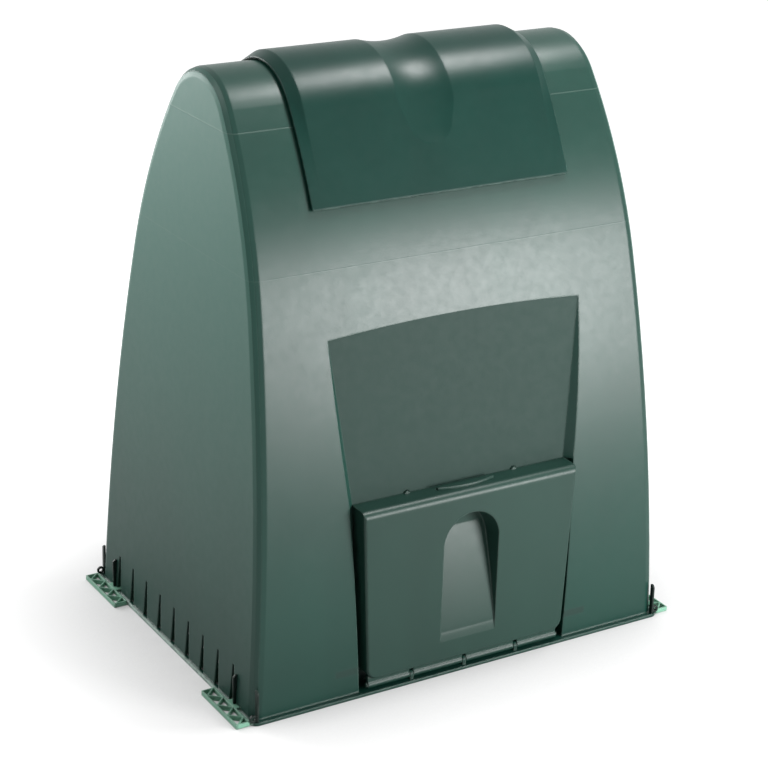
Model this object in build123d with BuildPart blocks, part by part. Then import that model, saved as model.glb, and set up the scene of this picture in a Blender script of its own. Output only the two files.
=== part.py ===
from build123d import *
import math
import os

# Garden compost bin: a one-piece arched hood over a floor grid, with a lid on the ridge
# and an emptying door at the foot of the front. X runs to the right, the door faces -Y,
# Z is up, and the origin is on the ground at the middle of the foot. Millimetres.

# Hood shell
HOOD_HEIGHT = 1000.0
HOOD_WIDTH = 800.0
HOOD_DEPTH = 584.0
HOOD_WALL = 4.0
GABLE_LEAN_IN = 52.0
GABLE_EDGE_RADIUS = 16.0
OUTER_EDGE_FLATS = 3
INNER_EDGE_FLATS = 2
FOOT_ARC_ANGLE = 12.64
SHOULDER_ARC_ANGLE = 34.58
SHOULDER_RADIUS = 850.0

# Flange round the foot of the hood
FLANGE_HEIGHT = 5.0
FLANGE_SIDE_REACH = 5.0
FLANGE_FRONT_REACH = 10.0
FLANGE_CORNER_RADIUS = 14.0

# Air slots in the gables
SLOT_COUNT = 9
SLOT_PITCH = 54.7
SLOT_TOP = 71.5
SLOT_TOP_WIDTH = 5.0
SLOT_FOOT_WIDTH = 15.0

# Recess in the front: a sloping panel above the door pocket
PANEL_TOP = 615.0
PANEL_TOP_HALF_WIDTH = 240.0
PANEL_TOP_ARC_RADIUS = 2900.0
PANEL_FOOT_HALF_WIDTH = 205.5
POCKET_TOP = 330.0
POCKET_TOP_HALF_WIDTH = 218.0
POCKET_FOOT_HALF_WIDTH = 203.0
POCKET_DEPTH = 32.0
OPENING_HALF_WIDTH = 176.0
OPENING_FOOT = 30.0
OPENING_TOP_DROP = 34.0
OPENING_CORNER_RADIUS = 14.0

# Filling mouth over the ridge: its front edge is a drop below the ridge, and its back edge is
# a rise above the lid's hinges
MOUTH_HALF_WIDTH = 208.0
MOUTH_FRONT_DROP = 168.0
MOUTH_BACK_RISE = 34.0
MOUTH_CORNER_RADIUS = 24.0
MOUTH_LIP_WIDTH = 3.0
MOUTH_LIP_DEPTH = 12.0

# Lid
LID_RISE = 15.0
LID_ANGLE = 25.5
LID_WALL = 3.5
LID_TOP_HALF_WIDTH = 222.0
LID_BEVEL = 19.0
LID_RIM_RISE = 5.8
LID_FRONT_DROP = 198.0
LID_BACK_RISE = 15.0
CHANNEL_HALF_WIDTH = 52.0
CHANNEL_DEPTH = 7.0
CHANNEL_END_DEPTH = 4.2
CHANNEL_RUN = 37.0

# Lid hinges
LID_HINGE_X = 180.0
LID_HINGE_DROP = 129.0
LID_HINGE_STANDOFF = 10.5
LID_HINGE_RADIUS = 6.5
LID_LUG_WIDTH = 7.0
LID_KNUCKLE_WIDTH = 30.0
LID_ARM_WIDTH = 7.0
LID_PIN_RADIUS = 3.0

# Door
DOOR_BOTTOM = 27.0
DOOR_SIDE_GAP = 11.5
DOOR_WALL = 3.5
DOOR_TOP_EDGE_RADIUS = 12.0
DOOR_EDGE_BEVEL = 3.0
DOOR_FOOT_CORNER_RADIUS = 20.0
DOOR_RIB_X = 120.0
DOOR_RIB_WIDTH = 2.5
DOOR_RIB_SETBACK = 10.0

# Hand scoop in the door, with each height a drop below the top of the door
SCOOP_HALF_WIDTH = 53.7
SCOOP_TOP_DROP = 40.0
SCOOP_FLOOR_DROP = 76.0
SCOOP_RAMP_DROP = 192.0
SCOOP_FOOT_DROP = 275.0
SCOOP_RAMP_DEPTH = 12.0
SCOOP_DEPTH = 37.5
SCOOP_DRAFT = 9.0

# Door hinge
DOOR_AXIS_SETBACK = 12.0
DOOR_AXIS_HEIGHT = 13.0
DOOR_HINGE_RADIUS = 6.0
DOOR_HINGE_HALF_WIDTH = 187.0
DOOR_LUG_X = 103.5
DOOR_LUG_WIDTH = 6.0
DOOR_NOTCH_WIDTH = 8.0
DOOR_WEB_WIDTH = 7.0
DOOR_ROD_RADIUS = 3.0
PIN_HEAD_RADIUS = 4.6
PIN_HEAD_SIDES = 6
PIN_HEAD_WIDTH = 2.0

# Locating pins at the top of the door, and the notches in the panel that take them
LOCATOR_X = 104.0
LOCATOR_RADIUS = 5.0
LOCATOR_DROP = 1.5
LOCATOR_LENGTH = 3.0

# Press latch in the top of the door, set back from its front
LATCH_HALF_WIDTH = 54.5
LATCH_BACK_SETBACK = 30.0
LATCH_END_SETBACK = 25.0
LATCH_FRONT_SETBACK = 16.5
LATCH_RISE = 4.0
LATCH_EDGE_BEVEL = 1.0
LATCH_FOOT_MARGIN = 2.5
LATCH_FOOT_HEIGHT = 2.5

# Floor grid
GRID_SIDE_GAP = 7.0
GRID_RIM_WIDTH = 3.0
GRID_RIM_HEIGHT = 26.0
GRID_FLOOR_HEIGHT = 4.0
GRID_SLOT_WIDTH = 7.0
GRID_SLOT_PITCH = 34.0
GRID_SLOT_ROWS = 2
GRID_CROSS_BAR = 6.0
TAB_LENGTH = 124.0
TAB_WIDTH = 24.0
TAB_HEIGHT = 8.0
TAB_CELLS = 7
TAB_WEB_WIDTH = 2.4
TAB_END_PAST = 3.0
NECK_WIDTH = 30.0

# Hold-down clips
CLIP_WIDTH = 3.2
CLIP_TOP = 60.0
CLIP_PROUD = 8.0
CLIP_FOOT_PROUD = 4.5
CLIP_NOSE_FOOT = 36.0
CLIP_NOSE_HEIGHT = 8.0
CLIP_BARB = 2.0
CORNER_CLIP_INSET = 6.5
EYE_REACH = 6.5
EYE_HOLE_REACH = 3.0
EYE_SIDES = 8

# Clearances
FIT_GAP = 0.3
PIN_SEAT_CLEARANCE = 0.02
PIN_RUN_CLEARANCE = 0.06
KNUCKLE_END_GAP = 0.5
LATCH_GAP = 0.5
LOCATOR_GAP = 1.0
NOTCH_GAP = 2.0

# The skin is three tangent arcs a side: foot arc, shoulder arc and crown arc. The angle of
# each joint is measured from the vertical, and the foot arc's radius follows from the rest.
FOOT_ANGLE = math.radians(FOOT_ARC_ANGLE)
SHOULDER_ANGLE = math.radians(SHOULDER_ARC_ANGLE)
CROWN_SHARE = (1 - math.sin(SHOULDER_ANGLE)) / math.cos(SHOULDER_ANGLE)
SHOULDER_SPAN = SHOULDER_RADIUS * (math.cos(FOOT_ANGLE) - math.cos(SHOULDER_ANGLE))
SHOULDER_CLIMB = SHOULDER_RADIUS * (math.sin(SHOULDER_ANGLE) - math.sin(FOOT_ANGLE))
FOOT_RADIUS = (HOOD_HEIGHT - SHOULDER_CLIMB - CROWN_SHARE * (HOOD_DEPTH / 2 - SHOULDER_SPAN)) / (
    math.sin(FOOT_ANGLE) - CROWN_SHARE * (1 - math.cos(FOOT_ANGLE))
)
FOOT_CENTRE_Y = HOOD_DEPTH / 2 - FOOT_RADIUS
SHOULDER_CENTRE_Y = FOOT_CENTRE_Y + (FOOT_RADIUS - SHOULDER_RADIUS) * math.cos(FOOT_ANGLE)
SHOULDER_CENTRE_Z = (FOOT_RADIUS - SHOULDER_RADIUS) * math.sin(FOOT_ANGLE)
CROWN_RADIUS = SHOULDER_RADIUS + SHOULDER_CENTRE_Y / math.cos(SHOULDER_ANGLE)
CROWN_CENTRE_Z = HOOD_HEIGHT - CROWN_RADIUS

# Places that follow from the sizes above: reaches are from the middle plane, heights from the
# ground. The front of the door is flush with the front of the flange, and its top with the
# top of the pocket.
GABLE_TILT = math.atan(GABLE_LEAN_IN / HOOD_HEIGHT)
SEAT_REACH = HOOD_DEPTH / 2 - POCKET_DEPTH
DOOR_FRONT = HOOD_DEPTH / 2 + FLANGE_FRONT_REACH
DOOR_DEPTH = DOOR_FRONT - SEAT_REACH - FIT_GAP
DOOR_AXIS_REACH = DOOR_FRONT - DOOR_AXIS_SETBACK
DOOR_TOP = POCKET_TOP
LOCATOR_HEIGHT = DOOR_TOP - LOCATOR_DROP
OPENING_TOP = POCKET_TOP - OPENING_TOP_DROP
LID_HINGE_HEIGHT = HOOD_HEIGHT - LID_HINGE_DROP
LID_BACK_EDGE = LID_HINGE_HEIGHT + LID_BACK_RISE
LID_FRONT_EDGE = HOOD_HEIGHT - LID_FRONT_DROP
MOUTH_FRONT = HOOD_HEIGHT - MOUTH_FRONT_DROP
MOUTH_BACK = LID_HINGE_HEIGHT + MOUTH_BACK_RISE
TAB_Y = HOOD_DEPTH / 2 + TAB_END_PAST - TAB_LENGTH / 2

# A cutter runs this far past the faces that it cuts, or this little where more would reach
# another wall. A piece that grows out of another starts this far inside it.
PAST = 30.0
JUST_PAST = 1.0


def skin_reach(height, inset=0.0):
    """Distance from the middle plane to the front skin, drawn in by inset, at a height."""
    shoulder_foot = SHOULDER_CENTRE_Z + (SHOULDER_RADIUS - inset) * math.sin(FOOT_ANGLE)
    shoulder_top = SHOULDER_CENTRE_Z + (SHOULDER_RADIUS - inset) * math.sin(SHOULDER_ANGLE)
    if height < shoulder_foot:
        return FOOT_CENTRE_Y + math.sqrt((FOOT_RADIUS - inset) ** 2 - height**2)
    if height < shoulder_top:
        climb = height - SHOULDER_CENTRE_Z
        return SHOULDER_CENTRE_Y + math.sqrt((SHOULDER_RADIUS - inset) ** 2 - climb**2)
    return math.sqrt((CROWN_RADIUS - inset) ** 2 - (height - CROWN_CENTRE_Z) ** 2)


def skin_lean(height):
    """Lean of the skin from the vertical at a height above the foot arc, in radians."""
    shoulder_climb = (height - SHOULDER_CENTRE_Z) / SHOULDER_RADIUS
    if shoulder_climb < math.sin(SHOULDER_ANGLE):
        return math.asin(shoulder_climb)
    return math.asin((height - CROWN_CENTRE_Z) / CROWN_RADIUS)


def gable_reach(height, inset=0.0):
    """Distance from the middle to the gable, drawn in by inset, at a height."""
    return HOOD_WIDTH / 2 - GABLE_LEAN_IN * height / HOOD_HEIGHT - inset


def arch_prism(inset):
    """The arch of the front, crown and back as one long prism, drawn in from the skin."""
    with BuildPart() as prism:
        with BuildSketch(Plane.YZ):
            with BuildLine():
                foot = CenterArc((FOOT_CENTRE_Y, 0), FOOT_RADIUS - inset, 0, FOOT_ARC_ANGLE)
                CenterArc(
                    (SHOULDER_CENTRE_Y, SHOULDER_CENTRE_Z),
                    SHOULDER_RADIUS - inset,
                    FOOT_ARC_ANGLE,
                    SHOULDER_ARC_ANGLE - FOOT_ARC_ANGLE,
                )
                mirror(about=Plane.YZ)
                CenterArc(
                    (0, CROWN_CENTRE_Z),
                    CROWN_RADIUS - inset,
                    SHOULDER_ARC_ANGLE,
                    180 - 2 * SHOULDER_ARC_ANGLE,
                )
                Line(foot @ 0, (-(foot @ 0).X, 0))
            make_face()
        extrude(amount=HOOD_WIDTH, both=True)
    return prism.part


def gable_plane(side, inward):
    """Plane that leans with a gable, a distance inward from the gable's outer face."""
    outward = Vector(side * math.cos(GABLE_TILT), 0, math.sin(GABLE_TILT))
    foot = Vector(side * HOOD_WIDTH / 2, 0, 0)
    return Plane(origin=foot - outward * inward, x_dir=(0, 1, 0), z_dir=outward)


def gable_end(side, inset, flats):
    """End of the arch at one gable, its edge rounded by a number of flats that follow the arch."""
    radius = GABLE_EDGE_RADIUS - inset
    with BuildPart() as end:
        for step in range(flats + 1):
            turn = math.radians(90 * step / flats)
            inward = inset + radius * (1 - math.cos(turn))
            drawn_in = inset + radius * (1 - math.sin(turn))
            add(section(arch_prism(drawn_in), section_by=gable_plane(side, inward)))
        loft(ruled=True)
    return end.part


def arch_body(inset, flats):
    """Closed arch between its leaning gables, drawn in from the outer skin by inset."""
    with BuildPart() as body:
        add(arch_prism(inset))
        for side in (-1, 1):
            split(bisect_by=gable_plane(side, GABLE_EDGE_RADIUS), keep=Keep.BOTTOM)
        for side in (-1, 1):
            add(gable_end(side, inset, flats))
    return body.part


def panel_cutter(grow):
    """Space in front of the sloping panel, down to the pocket, grown by a wall."""
    slant = (POCKET_TOP_HALF_WIDTH - PANEL_FOOT_HALF_WIDTH) / (skin_reach(POCKET_TOP) - SEAT_REACH)
    widened = grow * (math.hypot(1, slant) - slant)
    reach = HOOD_DEPTH / 2 + PAST
    foot_y = grow - SEAT_REACH
    top_y = grow - skin_reach(PANEL_TOP)
    with BuildPart() as cutter:
        with BuildSketch(Plane.YZ):
            with BuildLine():
                Polyline(
                    (foot_y, POCKET_TOP),
                    (top_y, PANEL_TOP),
                    (-reach, PANEL_TOP),
                    (-reach, POCKET_TOP),
                    close=True,
                )
            make_face()
        extrude(amount=HOOD_WIDTH, both=True)
        for side in (-1, 1):
            foot = Vector(side * (PANEL_FOOT_HALF_WIDTH + widened), foot_y, POCKET_TOP)
            top = Vector(side * (PANEL_TOP_HALF_WIDTH + widened), top_y, PANEL_TOP)
            outward = (top - foot).cross(Vector(side * slant, -1, 0)) * side
            split(bisect_by=Plane(origin=foot, z_dir=outward), keep=Keep.BOTTOM)
        if grow == 0:
            with BuildSketch(Plane.XZ):
                with Locations((0, PANEL_TOP - PANEL_TOP_ARC_RADIUS)):
                    Circle(PANEL_TOP_ARC_RADIUS)
            extrude(amount=HOOD_DEPTH, mode=Mode.INTERSECT)
    return cutter.part


def pocket_half_width(height):
    """Half the width of the door pocket at a height."""
    climb = (height - FLANGE_HEIGHT) / (POCKET_TOP - FLANGE_HEIGHT)
    return POCKET_FOOT_HALF_WIDTH + (POCKET_TOP_HALF_WIDTH - POCKET_FOOT_HALF_WIDTH) * climb


def pocket_cutter(foot, grow):
    """Door pocket from a foot height up to the panel, grown by a wall."""
    with BuildPart() as cutter:
        with BuildSketch(Plane.XZ.offset(SEAT_REACH - grow)):
            with BuildLine():
                Polyline(
                    (-pocket_half_width(foot) - grow, foot),
                    (pocket_half_width(foot) + grow, foot),
                    (POCKET_TOP_HALF_WIDTH + grow, POCKET_TOP + grow),
                    (-POCKET_TOP_HALF_WIDTH - grow, POCKET_TOP + grow),
                    close=True,
                )
            make_face()
        extrude(amount=HOOD_DEPTH / 2 + PAST - SEAT_REACH + grow)
    return cutter.part


def mouth_cutter(grow):
    """Filling mouth over the ridge, grown outward, front and back halves."""
    with BuildPart() as cutter:
        for foot, way in ((MOUTH_FRONT, 1), (MOUTH_BACK, -1)):
            with BuildSketch(Plane.XZ):
                with Locations((0, foot - grow)):
                    RectangleRounded(
                        2 * (MOUTH_HALF_WIDTH + grow),
                        HOOD_HEIGHT,
                        MOUTH_CORNER_RADIUS + grow,
                        align=(Align.CENTER, Align.MIN),
                    )
            extrude(amount=way * HOOD_DEPTH)
    return cutter.part


# Lid hinge line, a fixed distance off the skin of the back
LID_HINGE_LEAN = skin_lean(LID_HINGE_HEIGHT)
LID_AXIS_Y = skin_reach(LID_HINGE_HEIGHT) + LID_HINGE_STANDOFF * math.cos(LID_HINGE_LEAN)
LID_AXIS_Z = LID_HINGE_HEIGHT + LID_HINGE_STANDOFF * math.sin(LID_HINGE_LEAN)
LID_LUG_OFFSET = LID_KNUCKLE_WIDTH / 2 + KNUCKLE_END_GAP + LID_LUG_WIDTH / 2
DOOR_LUG_STATIONS = (-DOOR_LUG_X, 0, DOOR_LUG_X)
CORNER_CLIP_X = HOOD_WIDTH / 2 - CORNER_CLIP_INSET

# Hood: skin, flange and recess, then the hollow, then every hole
hood_skin = arch_body(0, OUTER_EDGE_FLATS)
hood_hollow = (
    arch_body(HOOD_WALL, INNER_EDGE_FLATS)
    - panel_cutter(HOOD_WALL)
    - pocket_cutter(-PAST, HOOD_WALL)
)
mouth_lip = (mouth_cutter(MOUTH_LIP_WIDTH) - mouth_cutter(0)) & (
    arch_prism(HOOD_WALL / 2) - arch_prism(HOOD_WALL + MOUTH_LIP_DEPTH)
)
panel_space = panel_cutter(0)
pocket_space = pocket_cutter(FLANGE_HEIGHT, 0)
mouth_space = mouth_cutter(0)

with BuildSketch() as slot:
    with BuildLine():
        Polyline(
            (-SLOT_FOOT_WIDTH / 2, FLANGE_HEIGHT),
            (SLOT_FOOT_WIDTH / 2, FLANGE_HEIGHT),
            (SLOT_TOP_WIDTH / 2, SLOT_TOP),
            (-SLOT_TOP_WIDTH / 2, SLOT_TOP),
            close=True,
        )
    make_face()
slot_shape = slot.sketch

with BuildPart() as hood:
    add(hood_skin)
    with BuildSketch(Plane.XY):
        RectangleRounded(
            HOOD_WIDTH + 2 * FLANGE_SIDE_REACH,
            HOOD_DEPTH + 2 * FLANGE_FRONT_REACH,
            FLANGE_CORNER_RADIUS,
        )
    extrude(amount=FLANGE_HEIGHT)
    add(panel_space, mode=Mode.SUBTRACT)
    add(pocket_space, mode=Mode.SUBTRACT)
    # Lugs for the lid pins, rooted in the back wall
    lug_foot = (skin_reach(LID_HINGE_HEIGHT, HOOD_WALL / 2), LID_HINGE_HEIGHT)
    for hinge_x in (-LID_HINGE_X, LID_HINGE_X):
        for lug_x in (hinge_x - LID_LUG_OFFSET, hinge_x + LID_LUG_OFFSET):
            with BuildSketch(Plane.YZ.offset(lug_x)):
                SlotCenterPoint(lug_foot, (LID_AXIS_Y, LID_AXIS_Z), 2 * LID_HINGE_RADIUS)
            extrude(amount=LID_LUG_WIDTH / 2, both=True)
    add(hood_hollow, mode=Mode.SUBTRACT)
    # Lugs on the sill that carry the door's rod
    for lug_x in DOOR_LUG_STATIONS:
        with BuildSketch(Plane.YZ.offset(lug_x)):
            with Locations((-DOOR_AXIS_REACH, DOOR_AXIS_HEIGHT)):
                Circle(DOOR_HINGE_RADIUS)
            with Locations((-DOOR_AXIS_REACH, FLANGE_HEIGHT / 2)):
                Rectangle(
                    2 * DOOR_HINGE_RADIUS,
                    DOOR_AXIS_HEIGHT - FLANGE_HEIGHT / 2,
                    align=(Align.CENTER, Align.MIN),
                )
        extrude(amount=DOOR_LUG_WIDTH / 2, both=True)
    # Door opening through the seat wall
    with BuildSketch(Plane.XZ.offset(SEAT_REACH - HOOD_WALL - JUST_PAST)):
        with Locations((0, (OPENING_FOOT + OPENING_TOP) / 2)):
            RectangleRounded(
                2 * OPENING_HALF_WIDTH, OPENING_TOP - OPENING_FOOT, OPENING_CORNER_RADIUS
            )
    extrude(amount=HOOD_WALL + 2 * JUST_PAST, mode=Mode.SUBTRACT)
    # Notches for the door's locating pins
    with BuildSketch(Plane.XZ.offset(SEAT_REACH - HOOD_WALL - PAST)):
        with Locations((-LOCATOR_X, LOCATOR_HEIGHT), (LOCATOR_X, LOCATOR_HEIGHT)):
            Circle(LOCATOR_RADIUS + LOCATOR_GAP)
    extrude(amount=PAST + 2 * HOOD_WALL, mode=Mode.SUBTRACT)
    add(mouth_space, mode=Mode.SUBTRACT)
    add(mouth_lip)
    # Air slots, cut straight through both gables
    with BuildSketch(Plane.YZ):
        with GridLocations(SLOT_PITCH, SLOT_PITCH, SLOT_COUNT, 1):
            add(slot_shape)
    extrude(amount=HOOD_WIDTH, both=True, mode=Mode.SUBTRACT)
    # Notches in the gable foot for the necks of the floor grid
    with BuildSketch(Plane.YZ):
        with Locations((-TAB_Y, 0), (TAB_Y, 0)):
            Rectangle(NECK_WIDTH + 2 * NOTCH_GAP, 2 * (TAB_HEIGHT + FIT_GAP))
    extrude(amount=HOOD_WIDTH, both=True, mode=Mode.SUBTRACT)
    # Slits for the noses of the gable clips
    with BuildSketch(Plane.YZ):
        with Locations((-TAB_Y, CLIP_NOSE_FOOT), (TAB_Y, CLIP_NOSE_FOOT)):
            Rectangle(CLIP_WIDTH + 2 * FIT_GAP, CLIP_NOSE_HEIGHT + 2 * FIT_GAP)
    extrude(amount=HOOD_WIDTH, both=True, mode=Mode.SUBTRACT)
    # Bores for the rod, within the pocket, and for the lid pins
    with BuildSketch(Plane.YZ):
        with Locations((-DOOR_AXIS_REACH, DOOR_AXIS_HEIGHT)):
            Circle(DOOR_ROD_RADIUS + PIN_SEAT_CLEARANCE)
    extrude(amount=DOOR_HINGE_HALF_WIDTH, both=True, mode=Mode.SUBTRACT)
    with BuildSketch(Plane.YZ):
        with Locations((LID_AXIS_Y, LID_AXIS_Z)):
            Circle(LID_PIN_RADIUS + PIN_SEAT_CLEARANCE)
    extrude(amount=HOOD_WIDTH / 2, both=True, mode=Mode.SUBTRACT)


def lid_face(inset, reach):
    """Upper face line of the lid between its bevels, drawn in by inset: crown arc and two lines."""
    radius = CROWN_RADIUS + LID_RISE - inset
    lean = math.radians(LID_ANGLE)
    top_y = radius * math.cos(lean)
    top_z = CROWN_CENTRE_Z + radius * math.sin(lean)
    front_z = LID_FRONT_EDGE - reach
    back_z = LID_BACK_EDGE - reach
    front_y = -top_y - (top_z - front_z) * math.tan(lean)
    back_y = top_y + (top_z - back_z) * math.tan(lean)
    with BuildSketch() as face:
        with BuildLine():
            Line((front_y, front_z), (-top_y, top_z))
            CenterArc((0, CROWN_CENTRE_Z), radius, 180 - LID_ANGLE, 2 * LID_ANGLE - 180)
            Line((top_y, top_z), (back_y, back_z))
            Line((back_y, back_z), (front_y, front_z))
        make_face()
    return face.sketch


def lid_rim(inset, reach):
    """Rim line at the sides of the lid: the hood's own arcs, raised and drawn in by inset."""
    rise = LID_RIM_RISE - inset
    shoulder = SHOULDER_RADIUS + rise
    front_climb = LID_FRONT_EDGE - reach - SHOULDER_CENTRE_Z
    back_climb = LID_BACK_EDGE - reach - SHOULDER_CENTRE_Z
    front_lean = math.degrees(math.asin(front_climb / shoulder))
    back_lean = math.degrees(math.asin(back_climb / shoulder))
    centre = (SHOULDER_CENTRE_Y, SHOULDER_CENTRE_Z)
    crown_span = 2 * SHOULDER_ARC_ANGLE - 180
    with BuildSketch() as face:
        with BuildLine():
            front = CenterArc(
                (-centre[0], centre[1]), shoulder, 180 - front_lean, front_lean - SHOULDER_ARC_ANGLE
            )
            CenterArc(
                (0, CROWN_CENTRE_Z), CROWN_RADIUS + rise, 180 - SHOULDER_ARC_ANGLE, crown_span
            )
            back = CenterArc(centre, shoulder, SHOULDER_ARC_ANGLE, back_lean - SHOULDER_ARC_ANGLE)
            Line(back @ 1, front @ 0)
        make_face()
    return face.sketch


def lid_body(inset, reach, overrun):
    """Lid saddle as a closed solid: a flat-sided middle with a bevel down to each rim."""
    middle = LID_TOP_HALF_WIDTH - inset / 2
    rim = LID_TOP_HALF_WIDTH + LID_BEVEL
    with BuildPart() as body:
        with BuildSketch(Plane.YZ):
            add(lid_face(inset, reach))
        extrude(amount=middle, both=True)
        for side in (-1, 1):
            with BuildSketch(Plane.YZ.offset(side * middle)):
                add(lid_face(inset, reach))
            with BuildSketch(Plane.YZ.offset(side * rim)):
                add(lid_rim(inset, reach))
            loft(ruled=True)
            if overrun > 0:
                with BuildSketch(Plane.YZ.offset(side * rim)):
                    add(lid_rim(inset, reach))
                extrude(amount=side * overrun)
    return body.part


def cut_channel(body, grow):
    """Cut the finger channel: a round bead that follows the crown and runs out on both faces."""
    radius = (CHANNEL_HALF_WIDTH**2 + CHANNEL_DEPTH**2) / (2 * CHANNEL_DEPTH)
    arm = CROWN_RADIUS + LID_RISE - CHANNEL_DEPTH + radius
    lean = math.radians(LID_ANGLE)
    tilt = math.atan((CHANNEL_DEPTH - CHANNEL_END_DEPTH) / CHANNEL_RUN)
    with BuildPart() as cut:
        add(body)
        for side in (-1, 1):
            turn = Vector(0, side * arm * math.cos(lean), CROWN_CENTRE_Z + arm * math.sin(lean))
            run = Vector(0, side * math.sin(lean + tilt), -math.cos(lean + tilt))
            with BuildSketch(Plane.XZ):
                with Locations((0, CROWN_CENTRE_Z + arm)):
                    Circle(radius + grow)
            revolve(
                axis=Axis((0, 0, CROWN_CENTRE_Z), (-side, 0, 0)),
                revolution_arc=90 - LID_ANGLE,
                mode=Mode.SUBTRACT,
            )
            with BuildSketch(Plane(origin=turn, x_dir=(1, 0, 0), z_dir=run)):
                Circle(radius + grow)
            extrude(amount=CHANNEL_RUN, mode=Mode.SUBTRACT)
            with Locations(turn, turn + run * CHANNEL_RUN):
                Sphere(radius + grow, mode=Mode.SUBTRACT)
    return cut.part


def pivot(centre, radius, toward, web):
    """Round eye on a pivot with a web that runs from it toward a point."""
    with BuildSketch() as outline:
        with Locations(centre):
            Circle(radius)
        SlotCenterPoint(
            ((centre[0] + toward[0]) / 2, (centre[1] + toward[1]) / 2), toward, web
        )
    return outline.sketch


# Lid: saddle shell with its finger channel, and two knuckles at the back edge
lid_outside = cut_channel(lid_body(0, 0, 0), 0)
lid_inside = cut_channel(lid_body(LID_WALL, PAST, PAST), LID_WALL)
arm_height = LID_BACK_EDGE + LID_ARM_WIDTH
lid_arm_y = (
    (CROWN_RADIUS + LID_RISE - LID_WALL / 2) / math.cos(math.radians(LID_ANGLE))
    - (arm_height - CROWN_CENTRE_Z) * math.tan(math.radians(LID_ANGLE))
)
with BuildPart() as lid:
    add(lid_outside)
    add(lid_inside, mode=Mode.SUBTRACT)
    for hinge_x in (-LID_HINGE_X, LID_HINGE_X):
        with BuildSketch(Plane.YZ.offset(hinge_x)):
            add(
                pivot(
                    (LID_AXIS_Y, LID_AXIS_Z),
                    LID_HINGE_RADIUS,
                    (lid_arm_y, arm_height),
                    LID_ARM_WIDTH - LID_WALL,
                )
            )
        extrude(amount=LID_KNUCKLE_WIDTH / 2, both=True)
    with BuildSketch(Plane.YZ):
        with Locations((LID_AXIS_Y, LID_AXIS_Z)):
            Circle(LID_PIN_RADIUS + PIN_RUN_CLEARANCE)
    extrude(amount=HOOD_WIDTH, both=True, mode=Mode.SUBTRACT)


def hinge_pin(axis_y, axis_z, middle, half_length, radius, headed_ends):
    """Straight pin along X with a head at each headed end, -1 for left and 1 for right."""
    with BuildPart() as pin:
        with BuildSketch(Plane.YZ.offset(middle)):
            with Locations((axis_y, axis_z)):
                Circle(radius)
        extrude(amount=half_length, both=True)
        for side in headed_ends:
            with BuildSketch(Plane.YZ.offset(middle + side * half_length)):
                with Locations((axis_y, axis_z)):
                    RegularPolygon(PIN_HEAD_RADIUS, PIN_HEAD_SIDES)
            extrude(amount=side * PIN_HEAD_WIDTH)
    return pin.part


lid_pin_half = LID_LUG_OFFSET + LID_LUG_WIDTH / 2 + FIT_GAP
lid_pins = {
    side: hinge_pin(
        LID_AXIS_Y, LID_AXIS_Z, side * LID_HINGE_X, lid_pin_half, LID_PIN_RADIUS, (side,)
    )
    for side in (-1, 1)
}
door_rod_half = DOOR_HINGE_HALF_WIDTH + FIT_GAP
door_rod = hinge_pin(
    -DOOR_AXIS_REACH, DOOR_AXIS_HEIGHT, 0, door_rod_half, DOOR_ROD_RADIUS, (-1, 1)
)


def door_outline(inset):
    """Outline of the door seen from the front, drawn in by inset, its foot corners rounded."""
    foot = DOOR_BOTTOM + inset
    top = DOOR_TOP - inset
    foot_half_width = pocket_half_width(foot) - DOOR_SIDE_GAP - inset
    top_half_width = pocket_half_width(top) - DOOR_SIDE_GAP - inset
    with BuildSketch() as outline:
        with BuildLine():
            Polyline(
                (-foot_half_width, foot),
                (foot_half_width, foot),
                (top_half_width, top),
                (-top_half_width, top),
                close=True,
            )
        make_face()
        corners = outline.vertices().group_by(Axis.Y)[0]
        fillet(corners, radius=DOOR_FOOT_CORNER_RADIUS - inset)
    return outline.sketch


def door_box(inset, bevel):
    """Door body drawn in by inset: bevelled round the front, rounded along the top."""
    with BuildPart() as body:
        with BuildSketch(Plane.XZ.offset(SEAT_REACH + FIT_GAP)):
            add(door_outline(inset))
        extrude(amount=DOOR_DEPTH - inset - bevel)
        if bevel > 0:
            with BuildSketch(Plane.XZ.offset(DOOR_FRONT - inset - bevel)):
                add(door_outline(inset))
            with BuildSketch(Plane.XZ.offset(DOOR_FRONT - inset)):
                add(door_outline(inset + bevel))
            loft(ruled=True)
        top_front = (-DOOR_FRONT + inset, DOOR_TOP - inset)
        with BuildSketch(Plane.YZ) as profile:
            with Locations(top_front):
                Rectangle(DOOR_DEPTH - inset, DOOR_TOP, align=(Align.MIN, Align.MAX))
            fillet(
                profile.vertices().sort_by_distance(top_front)[0],
                radius=DOOR_TOP_EDGE_RADIUS - inset,
            )
        extrude(amount=HOOD_WIDTH, both=True, mode=Mode.INTERSECT)
    return body.part


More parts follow.
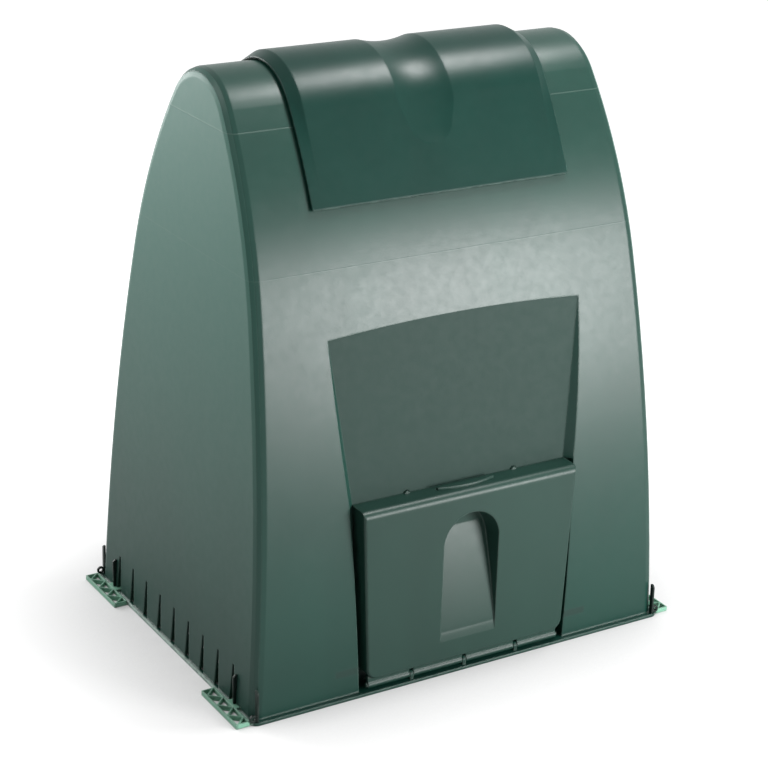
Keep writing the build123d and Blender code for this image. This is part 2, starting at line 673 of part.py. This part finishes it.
def scoop_cutter(grow):
    """Hand scoop: a drafted arch, grown by a wall, whose floor curves up to the door's face."""
    front = -DOOR_FRONT - JUST_PAST
    back = -DOOR_FRONT + SCOOP_DEPTH + PAST
    draft = math.tan(math.radians(SCOOP_DRAFT))
    front_reach = SCOOP_HALF_WIDTH + grow + JUST_PAST * draft
    back_reach = front_reach - (back - front) * draft
    foot = DOOR_TOP - SCOOP_FOOT_DROP
    arch_centre = DOOR_TOP - SCOOP_TOP_DROP - SCOOP_HALF_WIDTH
    with BuildPart() as cutter:
        with BuildSketch(Plane.XY.offset(arch_centre)) as plan:
            with BuildLine():
                Polyline(
                    (-front_reach, front),
                    (front_reach, front),
                    (back_reach, back),
                    (-back_reach, back),
                    close=True,
                )
            make_face()
        extrude(amount=foot - PAST - arch_centre)
        with BuildSketch(Plane.XY.offset(arch_centre)):
            add(plan.sketch_local)
            split(bisect_by=Plane.YZ, keep=Keep.TOP)
        revolve(axis=Axis((0, 0, arch_centre), (0, 1, 0)))
        with BuildSketch(Plane.YZ):
            with BuildLine():
                ramp = ThreePointArc(
                    (front, foot),
                    (-DOOR_FRONT + SCOOP_RAMP_DEPTH + grow, DOOR_TOP - SCOOP_RAMP_DROP),
                    (-DOOR_FRONT + SCOOP_DEPTH + grow, DOOR_TOP - SCOOP_FLOOR_DROP),
                )
                Polyline(ramp @ 1, ((ramp @ 1).X, DOOR_TOP), (front, DOOR_TOP), ramp @ 0)
            make_face()
        extrude(amount=2 * SCOOP_HALF_WIDTH, both=True, mode=Mode.INTERSECT)
    return cutter.part


def latch_plan(margin):
    """Crescent seen from above, grown by a margin."""
    half_width = LATCH_HALF_WIDTH + margin
    back = -DOOR_FRONT + LATCH_BACK_SETBACK + margin
    end = -DOOR_FRONT + LATCH_END_SETBACK - margin / 2
    front = -DOOR_FRONT + LATCH_FRONT_SETBACK - margin
    with BuildSketch() as plan:
        with BuildLine():
            Polyline((-half_width, end), (-half_width, back), (half_width, back), (half_width, end))
            ThreePointArc((half_width, end), (0, front), (-half_width, end))
        make_face()
    return plan.sketch


# Door: shell open at the back, with the scoop, ribs, locating pins, knuckles and latch slot
door_outside = door_box(0, DOOR_EDGE_BEVEL) - scoop_cutter(0)
door_inside = door_box(DOOR_WALL, 0) - scoop_cutter(DOOR_WALL)
knuckle_stations = (
    (-DOOR_HINGE_HALF_WIDTH, -DOOR_LUG_X - DOOR_NOTCH_WIDTH / 2),
    (-DOOR_LUG_X + DOOR_NOTCH_WIDTH / 2, -DOOR_NOTCH_WIDTH / 2),
    (DOOR_NOTCH_WIDTH / 2, DOOR_LUG_X - DOOR_NOTCH_WIDTH / 2),
    (DOOR_LUG_X + DOOR_NOTCH_WIDTH / 2, DOOR_HINGE_HALF_WIDTH),
)
with BuildPart() as door:
    add(door_outside)
    add(door_inside, mode=Mode.SUBTRACT)
    # Two upright ribs inside the shell, short of the seat
    for rib_x in (-DOOR_RIB_X, DOOR_RIB_X):
        with BuildSketch(Plane.YZ.offset(rib_x)):
            with BuildLine():
                Polyline(
                    (-DOOR_FRONT + DOOR_WALL / 2, DOOR_BOTTOM + DOOR_WALL / 2),
                    (-SEAT_REACH - DOOR_RIB_SETBACK, DOOR_BOTTOM + DOOR_WALL / 2),
                    (-SEAT_REACH - DOOR_RIB_SETBACK, DOOR_TOP - DOOR_WALL / 2),
                    (-DOOR_FRONT + DOOR_TOP_EDGE_RADIUS, DOOR_TOP - DOOR_WALL / 2),
                    (-DOOR_FRONT + DOOR_WALL / 2, DOOR_TOP - DOOR_TOP_EDGE_RADIUS),
                    close=True,
                )
            make_face()
        extrude(amount=DOOR_RIB_WIDTH / 2, both=True)
    # Hinge knuckles under the foot of the door
    knuckle = pivot(
        (-DOOR_AXIS_REACH, DOOR_AXIS_HEIGHT),
        DOOR_HINGE_RADIUS,
        (-DOOR_AXIS_REACH, DOOR_BOTTOM - DOOR_WALL / 4),
        DOOR_WEB_WIDTH,
    )
    for left, right in knuckle_stations:
        with BuildSketch(Plane.YZ.offset(left)):
            add(knuckle)
        extrude(amount=right - left)
    with BuildSketch(Plane.YZ):
        with Locations((-DOOR_AXIS_REACH, DOOR_AXIS_HEIGHT)):
            Circle(DOOR_ROD_RADIUS + PIN_RUN_CLEARANCE)
    extrude(amount=HOOD_WIDTH, both=True, mode=Mode.SUBTRACT)
    # Locating pins that enter the notches of the panel
    with BuildSketch(Plane.XZ.offset(SEAT_REACH - LOCATOR_LENGTH)):
        with Locations((-LOCATOR_X, LOCATOR_HEIGHT), (LOCATOR_X, LOCATOR_HEIGHT)):
            Circle(LOCATOR_RADIUS)
    extrude(amount=LOCATOR_LENGTH + DOOR_WALL)
    # Slot for the press latch through the top wall
    with BuildSketch(Plane.XY.offset(DOOR_TOP - DOOR_WALL - JUST_PAST)):
        add(latch_plan(LATCH_GAP))
    extrude(amount=DOOR_WALL + LATCH_RISE, mode=Mode.SUBTRACT)

# Press latch: a crescent key whose foot is caught under the top wall of the door
with BuildPart() as door_latch:
    with BuildSketch(Plane.XY.offset(DOOR_TOP - DOOR_WALL - FIT_GAP - LATCH_FOOT_HEIGHT)):
        add(latch_plan(LATCH_FOOT_MARGIN))
    extrude(amount=LATCH_FOOT_HEIGHT)
    with BuildSketch(Plane.XY.offset(DOOR_TOP - DOOR_WALL - FIT_GAP)):
        add(latch_plan(0))
    extrude(amount=DOOR_WALL + FIT_GAP + LATCH_RISE)
    chamfer(door_latch.faces().sort_by(Axis.Z)[-1].edges(), length=LATCH_EDGE_BEVEL)

# Floor grid: slotted floor with a standing rim, cut back behind the door pocket
grid_half_x = gable_reach(0, HOOD_WALL) - GRID_SIDE_GAP
grid_half_y = HOOD_DEPTH / 2 - HOOD_WALL - GRID_SIDE_GAP
notch_half_x = POCKET_FOOT_HALF_WIDTH + HOOD_WALL + GRID_SIDE_GAP
notch_back = SEAT_REACH - HOOD_WALL - GRID_SIDE_GAP
tab_inner = HOOD_WIDTH / 2 + FLANGE_SIDE_REACH + NOTCH_GAP / 2
tab_middle = tab_inner + TAB_WIDTH / 2
tab_cell = TAB_LENGTH / TAB_CELLS
row_pitch = 2 * (grid_half_y - GRID_RIM_WIDTH) / GRID_SLOT_ROWS
slot_columns = int(2 * (grid_half_x - GRID_RIM_WIDTH) / GRID_SLOT_PITCH)


def grid_outline(inset):
    """Outline of the floor grid, drawn in by inset."""
    with BuildSketch() as outline:
        Rectangle(2 * (grid_half_x - inset), 2 * (grid_half_y - inset))
        with Locations((0, -grid_half_y)):
            Rectangle(
                2 * (notch_half_x + inset),
                2 * (grid_half_y - notch_back + inset),
                mode=Mode.SUBTRACT,
            )
    return outline.sketch


def tab_web(side, end):
    """Zig-zag web of one outside tab, as wide as its bars."""
    with BuildSketch() as web:
        with BuildLine():
            points = []
            for step in range(TAB_CELLS + 1):
                swing = 1 if step % 2 else -1
                points.append(
                    (
                        side * tab_middle + swing * (TAB_WIDTH / 2 - TAB_WEB_WIDTH),
                        end * TAB_Y - TAB_LENGTH / 2 + step * tab_cell,
                    )
                )
            Polyline(*points)
        trace(line_width=TAB_WEB_WIDTH)
    return web.sketch


with BuildPart() as base_grid:
    with BuildSketch():
        add(grid_outline(0))
        add(grid_outline(GRID_RIM_WIDTH), mode=Mode.SUBTRACT)
    extrude(amount=GRID_RIM_HEIGHT)
    with BuildSketch():
        add(grid_outline(GRID_RIM_WIDTH / 2))
        with GridLocations(GRID_SLOT_PITCH, row_pitch, slot_columns, GRID_SLOT_ROWS):
            Rectangle(GRID_SLOT_WIDTH, row_pitch - GRID_CROSS_BAR, mode=Mode.SUBTRACT)
    extrude(amount=GRID_FLOOR_HEIGHT)
    with BuildSketch():
        for side in (-1, 1):
            for end in (-1, 1):
                with Locations((side * tab_middle, end * TAB_Y)):
                    Rectangle(TAB_WIDTH, TAB_LENGTH)
                    Rectangle(
                        TAB_WIDTH - 2 * TAB_WEB_WIDTH,
                        TAB_LENGTH - 2 * TAB_WEB_WIDTH,
                        mode=Mode.SUBTRACT,
                    )
                with Locations((side * (grid_half_x + tab_inner) / 2, end * TAB_Y)):
                    Rectangle(tab_inner - grid_half_x + 2 * TAB_WEB_WIDTH, NECK_WIDTH)
                add(tab_web(side, end))
    extrude(amount=TAB_HEIGHT)


def gable_clip(side, end):
    """Clip on a gable: an upright fin over a grid neck, with a barbed nose through the wall."""
    foot = TAB_HEIGHT
    nose_top = CLIP_NOSE_FOOT + CLIP_NOSE_HEIGHT / 2
    nose_foot = CLIP_NOSE_FOOT - CLIP_NOSE_HEIGHT / 2
    with BuildPart() as clip:
        with BuildSketch(Plane.XZ.offset(-end * TAB_Y)):
            with BuildLine():
                Polyline(
                    (side * (gable_reach(foot) + FIT_GAP), foot),
                    (side * (gable_reach(foot) + CLIP_FOOT_PROUD), foot),
                    (side * (gable_reach(CLIP_TOP) + CLIP_PROUD), CLIP_TOP - CLIP_PROUD / 2),
                    (side * (gable_reach(CLIP_TOP) + CLIP_PROUD / 2), CLIP_TOP),
                    (side * (gable_reach(CLIP_TOP) + FIT_GAP), CLIP_TOP),
                    close=True,
                )
            make_face()
            with BuildLine():
                Polyline(
                    (side * (gable_reach(nose_foot) + JUST_PAST), nose_foot),
                    (side * (gable_reach(nose_top) + JUST_PAST), nose_top),
                    (side * gable_reach(nose_top, HOOD_WALL + FIT_GAP), nose_top),
                    (side * gable_reach(nose_top, HOOD_WALL + FIT_GAP), nose_top + CLIP_BARB),
                    (side * gable_reach(nose_top, 2 * HOOD_WALL + FIT_GAP), nose_top),
                    (side * gable_reach(nose_foot, 2 * HOOD_WALL + FIT_GAP), nose_foot),
                    close=True,
                )
            make_face()
        extrude(amount=CLIP_WIDTH / 2, both=True)
    return clip.part


def eye_outline(reach):
    """Regular outline of a corner clip's eye, with its flats a reach from the middle."""
    turn = 180 / EYE_SIDES
    with BuildSketch() as outline:
        RegularPolygon(reach, EYE_SIDES, major_radius=False, rotation=turn)
    return outline.sketch


def corner_clip(side, end):
    """Clip beside a corner: an upright fin off the front or back wall, with an eye at its foot."""
    x = side * CORNER_CLIP_X
    foot = FLANGE_HEIGHT
    eye_x = x + side * (EYE_REACH + CLIP_WIDTH / 2 - JUST_PAST)
    eye_y = HOOD_DEPTH / 2 + CLIP_FOOT_PROUD
    wall_foot = skin_reach(foot) + FIT_GAP
    wall_top = skin_reach(CLIP_TOP) + FIT_GAP
    with BuildPart() as clip:
        with BuildSketch(Plane.YZ.offset(x)):
            with BuildLine():
                Polyline(
                    (end * wall_foot, foot),
                    (end * (wall_foot + CLIP_PROUD), foot),
                    (end * (wall_top + CLIP_PROUD), CLIP_TOP - CLIP_PROUD / 2),
                    (end * (wall_top + CLIP_PROUD / 2), CLIP_TOP),
                    (end * wall_top, CLIP_TOP),
                    close=True,
                )
            make_face()
        extrude(amount=CLIP_WIDTH / 2, both=True)
        with BuildSketch(Plane.XZ.offset(-end * eye_y)):
            with Locations((eye_x, foot + EYE_REACH)):
                add(eye_outline(EYE_REACH))
                add(eye_outline(EYE_HOLE_REACH), mode=Mode.SUBTRACT)
        extrude(amount=CLIP_WIDTH / 2, both=True)
    return clip.part


pieces = {
    "hood": hood.part,
    "base_grid": base_grid.part,
    "lid": lid.part,
    "lid_pin_left": lid_pins[-1],
    "lid_pin_right": lid_pins[1],
    "door": door.part,
    "door_rod": door_rod,
    "door_latch": door_latch.part,
}
for side, side_name in ((-1, "left"), (1, "right")):
    for end, end_name in ((-1, "front"), (1, "back")):
        pieces["gable_clip_" + side_name + "_" + end_name] = gable_clip(side, end)
        pieces["corner_clip_" + side_name + "_" + end_name] = corner_clip(side, end)

os.makedirs("parts", exist_ok=True)
for name, piece in pieces.items():
    piece.label = name
    export_step(piece, "parts/" + name + ".step")
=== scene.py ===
import math

import bpy
from mathutils import Matrix, Vector

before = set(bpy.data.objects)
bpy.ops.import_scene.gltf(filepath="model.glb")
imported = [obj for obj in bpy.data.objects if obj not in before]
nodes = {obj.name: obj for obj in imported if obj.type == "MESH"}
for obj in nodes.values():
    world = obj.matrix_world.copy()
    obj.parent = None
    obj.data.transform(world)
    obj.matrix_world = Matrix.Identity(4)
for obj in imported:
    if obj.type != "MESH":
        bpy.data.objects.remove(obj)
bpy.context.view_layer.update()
scene = bpy.context.scene
scene.view_settings.view_transform = "Standard"

WHITE = (1.0, 1.0, 1.0, 1.0)

# Photograph: width and middle of the frame, and the lens's focal length and axis, in pixels
PHOTO_WIDTH = 768
PHOTO_MIDDLE = (384.0, 378.5)
FOCAL_LENGTH = 2180.154
LENS_AXIS = (382.05, 333.69)
SENSOR_WIDTH = 36.0
# Camera: turn to the right of the front, height over the horizon and roll, in degrees
CAMERA_TURN = (-31.442, 20.574, 1.671)
CAMERA_DISTANCE = 3.7316
CAMERA_AIM_HEIGHT = 0.5

# Plastic: scales of the clouds, the mottle and the grain, and stretch of the flow marks
CLOUD_SCALE = 4.0
MOTTLE_SCALE = 70.0
GRAIN_SCALE = 1100.0
FLOW_STRETCH = (9.0, 9.0, 1.2)
# Heights of the same in the surface, and of a witness line, in metres
CLOUD_HEIGHT = 0.0008
FLOW_HEIGHT = 0.0004
GRAIN_HEIGHT = 0.00005
LINE_HEIGHT = 0.0002
# Width over which a moulded edge is rounded, in metres
EDGE_SOFTNESS = 0.004

# Hood: a point (y, z) near the foot of the sloping panel, and its lean back for each metre up
PANEL_FOOT = (-0.25863, 0.34233)
PANEL_LEAN = 0.1113
# Height of the panel's arched top edge, the radius of the arch and the panel's half width
PANEL_TOP = 0.615
PANEL_ARCH = 2.9
PANEL_HALF_WIDTH = 0.245
# How dark the recessed panel is painted, as painted shade in the recess
PANEL_PAINTED_SHADE = 0.6
# Beyond this distance from the middle a surface belongs to the gable
GABLE = 0.335
# The rim along the gable's foot, painted pale as a highlight: distance from the middle, height
# and colour
FOOT_RIM_REACH = 0.400
FOOT_RIM_HEIGHT = 0.012
FOOT_RIM_PAINTED_HIGHLIGHT = (0.36, 0.48, 0.43, 1.0)

# Light of the room on the object; the backdrop itself shows as white
WORLD_FILL = 0.15
FLOOR_SIZE = 60.0
FLOOR_LEVEL = -0.0005
FLOOR_PLAIN = (0.8, 0.8, 0.8, 1.0)
FLOOR_SEEN = (0.36, 0.36, 0.36, 1.0)
# The floor's own glow beside the object, and the distances between which it grows to white
FLOOR_GLOW = 0.74
FLOOR_GLOW_FROM = 0.45
FLOOR_GLOW_TO = 1.0
CONTACT_SHADOW = 0.26


class Tree:
    """Short hand for building one material's or world's nodes."""

    def __init__(self, owner, output="ShaderNodeOutputMaterial"):
        owner.use_nodes = True
        self.tree = owner.node_tree
        self.tree.nodes.clear()
        self.out = self.add(output)

    def add(self, kind, inputs=None, **settings):
        node = self.tree.nodes.new(kind)
        for key, value in settings.items():
            setattr(node, key, value)
        for key, value in (inputs or {}).items():
            self.put(node.inputs[key], value)
        return node

    def put(self, socket, value):
        if isinstance(value, bpy.types.NodeSocket):
            self.tree.links.new(value, socket)
        else:
            socket.default_value = value

    def math(self, operation, a, b=0.0, c=0.0, clamp=False):
        node = self.add("ShaderNodeMath", operation=operation, use_clamp=clamp)
        for i, value in enumerate((a, b, c)):
            self.put(node.inputs[i], value)
        return node.outputs[0]

    def times(self, *factors):
        product = factors[0]
        for factor in factors[1:]:
            product = self.math("MULTIPLY", product, factor)
        return product

    def total(self, *terms):
        result = terms[0]
        for term in terms[1:]:
            result = self.math("ADD", result, term)
        return result

    def size(self, value):
        return self.math("ABSOLUTE", value)

    def noise(self, coords, scale, detail, rough):
        return self.add(
            "ShaderNodeTexNoise",
            {"Vector": coords, "Scale": scale, "Detail": detail, "Roughness": rough},
        ).outputs["Fac"]

    def ramp(self, value, low, high, out_low=0.0, out_high=1.0):
        """Smooth step from out_low at low to out_high at high."""
        return self.add(
            "ShaderNodeMapRange",
            {"Value": value, "From Min": low, "From Max": high, "To Min": out_low,
             "To Max": out_high},
            interpolation_type="SMOOTHSTEP",
        ).outputs[0]

    def mix(self, factor, a, b):
        node = self.add("ShaderNodeMix", data_type="RGBA")
        self.put(node.inputs[0], factor)
        self.put(node.inputs[6], a)
        self.put(node.inputs[7], b)
        return node.outputs[2]

    def line(self, coordinate, place, half_width):
        """1 on a line across a coordinate, falling to 0 at half_width from it."""
        off = self.size(self.math("SUBTRACT", coordinate, place))
        return self.ramp(off, half_width, half_width * 0.3)


def opaque(colour, factor=1.0):
    """The colour with each channel times a factor, and full alpha."""
    return tuple(channel * factor for channel in colour) + (1.0,)


def on_panel(t, split):
    """1 on the sloping panel recessed above the door."""
    foot_y, foot_z = PANEL_FOOT
    rise = t.math("SUBTRACT", split.outputs["Z"], foot_z)
    plane = t.math("MULTIPLY_ADD", rise, PANEL_LEAN, foot_y)
    off = t.size(t.math("SUBTRACT", split.outputs["Y"], plane))
    flush = t.ramp(off, 0.0008, 0.0004)
    inside = t.ramp(t.size(split.outputs["X"]), PANEL_HALF_WIDTH + 0.005, PANEL_HALF_WIDTH)
    across = t.times(split.outputs["X"], split.outputs["X"])
    arch = t.math("MULTIPLY_ADD", across, 0.5 / PANEL_ARCH, split.outputs["Z"])
    below = t.ramp(arch, PANEL_TOP + 0.0003, PANEL_TOP - 0.0002)
    return t.times(flush, inside, below)


def on_gable(t, split, normal):
    """1 on the gables' outer faces."""
    face = t.add("ShaderNodeSeparateXYZ", {0: normal})
    sideways = t.ramp(t.size(face.outputs["X"]), 0.5, 0.95)
    outer = t.ramp(t.size(split.outputs["X"]), GABLE - 0.005, GABLE)
    return t.times(sideways, outer)


def on_foot_rim(t, split, mottle):
    """The rim along the gable's foot, where it is painted pale as a highlight, patchy with the
    mottle.
    """
    low = t.ramp(split.outputs["Z"], FOOT_RIM_HEIGHT, 0.6 * FOOT_RIM_HEIGHT)
    out = t.ramp(t.size(split.outputs["X"]), FOOT_RIM_REACH, FOOT_RIM_REACH + 0.003)
    return t.times(low, out, t.ramp(mottle, 0.3, 0.6, 0.5, 1.0))


def moulded(name, colour, pale, roughness, specular=0.25, lines=(), gable_painted_light=0.0, matt=0.0):
    """Moulded plastic: satin skin with fine grain, soft flow marks and edges painted pale as a
    highlight.

    lines are (axis, place, half width, strength) witness lines of the mould, in metres.
    The last two are for the hood: how much paler its gables are painted towards the top, as
    painted light where the light falls on them, and how much rougher its sloping panel is.
    """
    material = bpy.data.materials.new(name)
    t = Tree(material)
    where = t.add("ShaderNodeTexCoord").outputs["Object"]
    split = t.add("ShaderNodeSeparateXYZ", {0: where})
    normal = t.add("ShaderNodeNewGeometry").outputs["Normal"]
    clouds = t.noise(where, CLOUD_SCALE, 3.0, 0.5)
    mottle = t.noise(where, MOTTLE_SCALE, 3.0, 0.6)
    grain = t.noise(where, GRAIN_SCALE, 2.0, 0.6)
    stretched = t.add("ShaderNodeMapping", {"Vector": where, "Scale": FLOW_STRETCH})
    flow = t.noise(stretched.outputs[0], 1.0, 2.0, 0.5)
    # Pale colour of the painted edge highlight and of the mould's witness lines.
    pale_highlight_and_line = opaque(pale)

    tone = t.total(t.times(clouds, 0.6), t.times(flow, 0.4))
    body = t.mix(t.ramp(tone, 0.3, 0.7), opaque(colour, 0.90), opaque(colour, 1.12))
    rough = t.total(t.ramp(mottle, 0.2, 0.8, -0.02, 0.03), roughness)
    if matt:
        gable = on_gable(t, split, normal)
        # Painted light: the gables are painted paler towards the top, where the light falls on
        # them.
        gable_top_painted_light = opaque(tuple(c * (1.0 + gable_painted_light) + 0.01 * gable_painted_light for c in colour))
        body = t.mix(t.times(t.ramp(split.outputs["Z"], 0.0, 1.0), gable), body, gable_top_painted_light)
        panel = on_panel(t, split)
        # Painted shade: the recessed panel's colour is darkened.
        body = t.mix(t.times(panel, 0.8), body, opaque(colour, PANEL_PAINTED_SHADE))
        # Painted highlight: the rim along the gable's foot is painted pale.
        body = t.mix(on_foot_rim(t, split, mottle), body, FOOT_RIM_PAINTED_HIGHLIGHT)
        rough = t.total(rough, t.times(panel, matt), t.times(gable, 0.6 * matt))

    soft = t.add("ShaderNodeBevel", {"Radius": EDGE_SOFTNESS}, samples=4).outputs[0]
    turn = t.add("ShaderNodeVectorMath", {0: soft, 1: normal}, operation="DOT_PRODUCT")
    # Painted highlight: sharp edges are painted paler, patchy with the mottle.
    edge = t.ramp(turn.outputs["Value"], 0.93, 0.80)
    body = t.mix(t.times(edge, t.ramp(mottle, 0.35, 0.65, 0.08, 0.35)), body, pale_highlight_and_line)

    height = t.total(
        t.times(grain, GRAIN_HEIGHT), t.times(clouds, CLOUD_HEIGHT), t.times(flow, FLOW_HEIGHT)
    )
    for axis, place, half_width, strength in lines:
        mark = t.line(split.outputs[axis], place, half_width)
        height = t.total(height, t.times(mark, LINE_HEIGHT * strength))
        body = t.mix(t.times(mark, 0.2 * strength), body, pale_highlight_and_line)
    bump = t.add(
        "ShaderNodeBump", {"Strength": 1.0, "Distance": 1.0, "Height": height, "Normal": soft}
    )
    shader = t.add(
        "ShaderNodeBsdfPrincipled",
        {"Base Color": body, "Roughness": rough, "Normal": bump.outputs[0],
         "Specular IOR Level": specular},
    )
    t.put(t.out.inputs[0], shader.outputs[0])
    return material


# The hood: gables painted paler towards the top as painted light, recessed panel painted darker
# as painted shade.
hood_plastic = moulded(
    "hood_plastic", (0.005, 0.036, 0.026), (0.22, 0.30, 0.26), 0.34, 0.33, gable_painted_light=2.4, matt=0.3,
    lines=(("Z", 0.920, 0.0011, 0.6), ("Z", 0.712, 0.0010, 0.3)),
)
lid_plastic = moulded("lid_plastic", (0.001, 0.026, 0.019), (0.14, 0.24, 0.20), 0.34, 0.2)
door_plastic = moulded("door_plastic", (0.009, 0.035, 0.026), (0.20, 0.28, 0.25), 0.38, 0.3)
clip_plastic = moulded("clip_plastic", (0.003, 0.010, 0.008), (0.10, 0.16, 0.13), 0.38)
grid_plastic = moulded("grid_plastic", (0.19, 0.40, 0.29), (0.55, 0.70, 0.60), 0.45)
pin_plastic = moulded("pin_plastic", (0.03, 0.07, 0.055), (0.30, 0.38, 0.34), 0.35)

finish = {
    "hood": hood_plastic,
    "lid": lid_plastic,
    "lid_pin_left": pin_plastic,
    "lid_pin_right": pin_plastic,
    "door": door_plastic,
    "door_latch": door_plastic,
    "door_rod": pin_plastic,
    "base_grid": grid_plastic,
}
for name, node in nodes.items():
    node.data.materials.clear()
    node.data.materials.append(finish.get(name, clip_plastic))


def seen_rays(t):
    """1 for the rays that show the backdrop: camera, glossy and transmission rays."""
    path = t.add("ShaderNodeLightPath")
    seen = t.math("ADD", path.outputs["Is Camera Ray"], path.outputs["Is Glossy Ray"], clamp=True)
    return t.math("ADD", seen, path.outputs["Is Transmission Ray"], clamp=True)


def floor_material():
    """Pale floor that shows as white, with the object's shadow."""
    material = bpy.data.materials.new("studio_floor")
    t = Tree(material)
    plain = t.add("ShaderNodeBsdfDiffuse", {"Color": FLOOR_PLAIN})
    seen = t.add("ShaderNodeBsdfDiffuse", {"Color": FLOOR_SEEN})
    where = t.add("ShaderNodeTexCoord").outputs["Object"]
    reach = t.add("ShaderNodeVectorMath", {0: where}, operation="LENGTH").outputs["Value"]
    near = t.add("ShaderNodeAmbientOcclusion", {"Distance": CONTACT_SHADOW}, samples=8)
    level = t.times(
        t.ramp(reach, FLOOR_GLOW_FROM, FLOOR_GLOW_TO, FLOOR_GLOW, 1.0), near.outputs["AO"]
    )
    glow = t.add("ShaderNodeEmission", {"Color": WHITE, "Strength": level})
    both = t.add("ShaderNodeAddShader", {0: seen.outputs[0], 1: glow.outputs[0]})
    mix = t.add("ShaderNodeMixShader", {0: seen_rays(t), 1: plain.outputs[0], 2: both.outputs[0]})
    t.put(t.out.inputs[0], mix.outputs[0])
    return material


bpy.ops.mesh.primitive_plane_add(size=FLOOR_SIZE, location=(0, 0, FLOOR_LEVEL))
floor = bpy.context.object
floor.name = "floor"
floor.data.materials.append(floor_material())

world = bpy.data.worlds.new("studio")
scene.world = world
sky = Tree(world, "ShaderNodeOutputWorld")
fill = sky.add("ShaderNodeBackground", {"Color": WHITE, "Strength": WORLD_FILL})
backdrop = sky.add("ShaderNodeBackground", {"Color": WHITE, "Strength": 1.0})
choice = sky.add(
    "ShaderNodeMixShader", {0: seen_rays(sky), 1: fill.outputs[0], 2: backdrop.outputs[0]}
)
sky.put(sky.out.inputs[0], choice.outputs[0])


def softbox(name, azimuth, elevation, distance, width, height, level, aim=(0, 0, 0.55)):
    """Area light at an azimuth from the front (right is positive); level is its brightness."""
    a, e = math.radians(azimuth), math.radians(elevation)
    way = Vector((math.sin(a) * math.cos(e), -math.cos(a) * math.cos(e), math.sin(e)))
    data = bpy.data.lights.new(name, "AREA")
    data.shape = "RECTANGLE"
    data.size = width
    data.size_y = height
    data.energy = level * math.pi * width * height
    lamp = bpy.data.objects.new(name, data)
    lamp.location = Vector(aim) + way * distance
    lamp.rotation_euler = way.to_track_quat("Z", "Y").to_euler()
    lamp.visible_camera = False
    scene.collection.objects.link(lamp)


softbox("softbox_right", 30, 4, 3.2, 1.2, 1.25, 28)
softbox("softbox_top", 76, 59, 1.6, 0.62, 0.42, 42, aim=(0, -0.08, 0.98))
softbox("softbox_gable", -95, 50, 2.1, 1.0, 0.8, 4)
softbox("softbox_behind", -151, 10, 2.6, 1.3, 0.7, 17)


def photo_camera():
    """Camera fitted to the photograph, seen from the front left and above."""
    azimuth, elevation, roll = (math.radians(angle) for angle in CAMERA_TURN)
    back = Vector(
        (math.sin(azimuth) * math.cos(elevation), -math.cos(azimuth) * math.cos(elevation),
         math.sin(elevation))
    )
    right = Vector((math.cos(azimuth), math.sin(azimuth), 0.0))
    up = back.cross(right)
    right, up = (
        math.cos(roll) * right + math.sin(roll) * up,
        math.cos(roll) * up - math.sin(roll) * right,
    )
    place = back * CAMERA_DISTANCE + Vector((0, 0, CAMERA_AIM_HEIGHT))
    data = bpy.data.cameras.new("camera")
    data.sensor_width = SENSOR_WIDTH
    data.lens = FOCAL_LENGTH / PHOTO_WIDTH * SENSOR_WIDTH
    data.shift_x = (PHOTO_MIDDLE[0] - LENS_AXIS[0]) / PHOTO_WIDTH
    data.shift_y = (LENS_AXIS[1] - PHOTO_MIDDLE[1]) / PHOTO_WIDTH
    data.clip_end = 100.0
    camera = bpy.data.objects.new("camera", data)
    camera.matrix_world = Matrix(
        (
            (right.x, up.x, back.x, place.x),
            (right.y, up.y, back.y, place.y),
            (right.z, up.z, back.z, place.z),
            (0, 0, 0, 1),
        )
    )
    scene.collection.objects.link(camera)
    scene.camera = camera


photo_camera()
